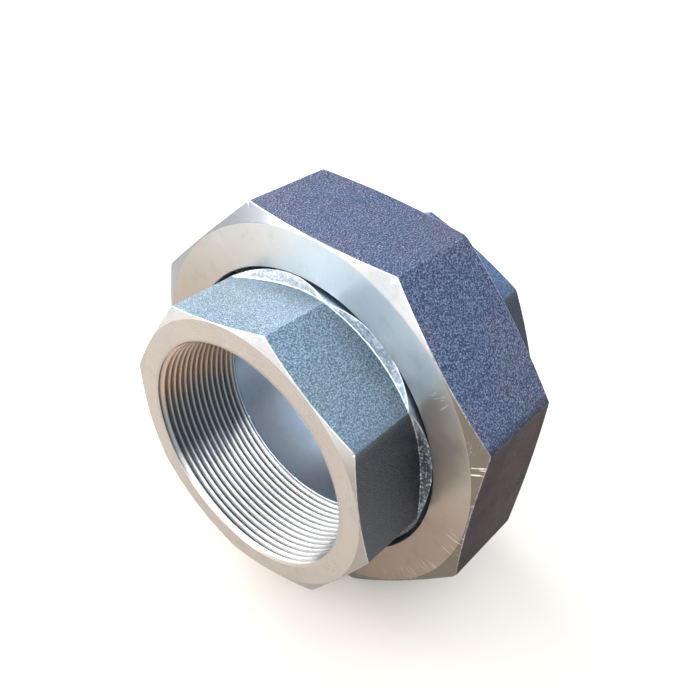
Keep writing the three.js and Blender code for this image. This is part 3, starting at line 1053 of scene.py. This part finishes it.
rows, theta, phi = make_end("male", male_mats)
male_marks = [
    chip(22.5 + MALE_TURN, MALE_END_X - 2.0, 71.2, 1.0, 0.3),
    chip(157.5 + MALE_TURN, MALE_END_X - 2.1, 71.4, 1.2, 0.35),
]
add_piece("male_end_steel", "male_end", "male_end", rows, theta, male_mats, male_marks)

# ---------------------------------------------------------------- floor
def make_floor():
    size, n = 2.2, 44
    z0 = CAD_BOX[0][2]
    verts, faces = [], []
    for j in range(n + 1):
        for i in range(n + 1):
            verts.append(((i / n - 0.5) * 2 * size, (j / n - 0.5) * 2 * size, z0))
    for j in range(n):
        for i in range(n):
            a = j * (n + 1) + i
            faces.append((a, a + 1, a + n + 2, a + n + 1))
    mesh = bpy.data.meshes.new("floor")
    mesh.from_pydata(verts, [], faces)
    mesh.update()
    obj = bpy.data.objects.new("floor", mesh)
    bpy.context.scene.collection.objects.link(obj)
    mat, tree = new_material("floor_paper")
    t = T(tree)
    co = t.node("ShaderNodeTexCoord").outputs["Object"]
    n1 = t.noise(co, 3.0, 2.0, 0.5)
    colour = t.mix(t.ramp(n1, 0.3, 0.7), rgba(0.60, 0.540, 0.480), rgba(0.63, 0.570, 0.510))
    output(t, colour, 0.9, None, metallic=0.0)
    mesh.materials.append(mat)


make_floor()

# ---------------------------------------------------------------- camera
cam_data = bpy.data.cameras.new("camera")
cam_data.sensor_fit = "HORIZONTAL"
cam_data.sensor_width = 36.0
cam_data.lens = 39.29103
cam_data.shift_x = 0.0
cam_data.shift_y = 0.107143
cam_data.clip_start = 0.01
cam_data.clip_end = 20.0
cam_data.dof.use_dof = False
cam = bpy.data.objects.new("camera", cam_data)
bpy.context.scene.collection.objects.link(cam)
right = Vector((0.6458178213702361, -0.7588518299194364, 0.08404309506749508))
up = Vector((0.4813444719008458, 0.49012775283592847, 0.7266927034658446))
back = Vector((-0.5926439411409665, -0.4288574193457828, 0.6818023708531504))
place = Vector((-0.2243, -0.1704, 0.2410))
m = Matrix.Identity(4)
for i in range(3):
    m[i][0], m[i][1], m[i][2], m[i][3] = right[i], up[i], back[i], place[i]
cam.matrix_world = m
bpy.context.scene.camera = cam

# ---------------------------------------------------------------- light
WINDOW_W = 36.0
SKY_BASE = (0.28, 0.29, 0.31)
SKY_LOBES = [
    ((-0.61, 0.67, 0.45), 0.82, 1.0, 7.2, (0.99, 0.99, 0.985)),
    ((-0.70, -0.36, 0.58), 0.74, 1.0, 4.2, (0.94, 0.98, 1.02)),
    ((-0.98, 0.00, 0.02), 0.86, 1.0, 1.5, (0.96, 0.99, 1.01)),
    ((0.52, 0.54, 0.62), 0.55, 1.0, 1.20, (0.88, 0.97, 1.04)),
    ((0.50, -0.46, 0.70), 0.58, 1.0, 1.65, (0.84, 0.95, 1.06)),
]


def area(name, place, target, size_x, size_y, power, colour, visible=False):
    data = bpy.data.lights.new(name, "AREA")
    data.shape = "RECTANGLE"
    data.size, data.size_y = size_x, size_y
    data.energy = power
    data.color = colour
    obj = bpy.data.objects.new(name, data)
    obj.location = place
    aim = Vector(target) - Vector(place)
    obj.rotation_euler = aim.to_track_quat("-Z", "Y").to_euler()
    bpy.context.scene.collection.objects.link(obj)
    obj.visible_camera = visible
    return obj


# one large lamp on the left gives the shadows a direction
area("soft_window", (0.35, 1.75, 1.25), (0, 0, 0), 1.0, 1.0, WINDOW_W, (0.96, 0.98, 1.0))

world = bpy.data.worlds.new("studio")
bpy.context.scene.world = world
world.use_nodes = True
wt = world.node_tree
wt.nodes.clear()
t = T(wt)
gen = t.node("ShaderNodeTexCoord").outputs["Generated"]


def lobe(aim, start, end, power):
    """A soft patch of sky round a direction: 0 where the cosine to it is below start, full above end."""
    d = Vector(aim).normalized()
    node = t.node("ShaderNodeVectorMath", operation="DOT_PRODUCT")
    t.put(node.inputs[0], gen)
    node.inputs[1].default_value = tuple(d)
    return t.math("MULTIPLY", t.ramp(node.outputs["Value"], start, end), power)


def tinted(amount, colour):
    node = t.node("ShaderNodeVectorMath", operation="SCALE")
    node.inputs[0].default_value = colour
    t.put(node.inputs["Scale"], amount)
    return node.outputs[0]


def plus(a, b):
    node = t.node("ShaderNodeVectorMath", operation="ADD")
    t.put(node.inputs[0], a)
    t.put(node.inputs[1], b)
    return node.outputs[0]


total = tinted(1.0, SKY_BASE)
for aim, start, end, power, colour in SKY_LOBES:
    total = plus(total, tinted(lobe(aim, start, end, power), colour))
bg = t.node("ShaderNodeBackground")
t.put(bg.inputs[0], total)
bg.inputs[1].default_value = 1.0
# the backdrop itself is plain and pale
paper = t.node("ShaderNodeBackground")
paper.inputs[0].default_value = rgba(0.96, 0.96, 0.96)
paper.inputs[1].default_value = 1.0
eye = t.node("ShaderNodeLightPath")
either = t.node("ShaderNodeMixShader")
t.put(either.inputs[0], eye.outputs["Is Camera Ray"])
t.l.new(bg.outputs[0], either.inputs[1])
t.l.new(paper.outputs[0], either.inputs[2])
out = t.node("ShaderNodeOutputWorld")
t.l.new(either.outputs[0], out.inputs[0])

bpy.context.scene.view_settings.view_transform = "Standard"
bpy.context.scene.view_settings.look = "None"
bpy.context.scene.view_settings.exposure = 0.0
bpy.context.scene.view_settings.gamma = 1.0
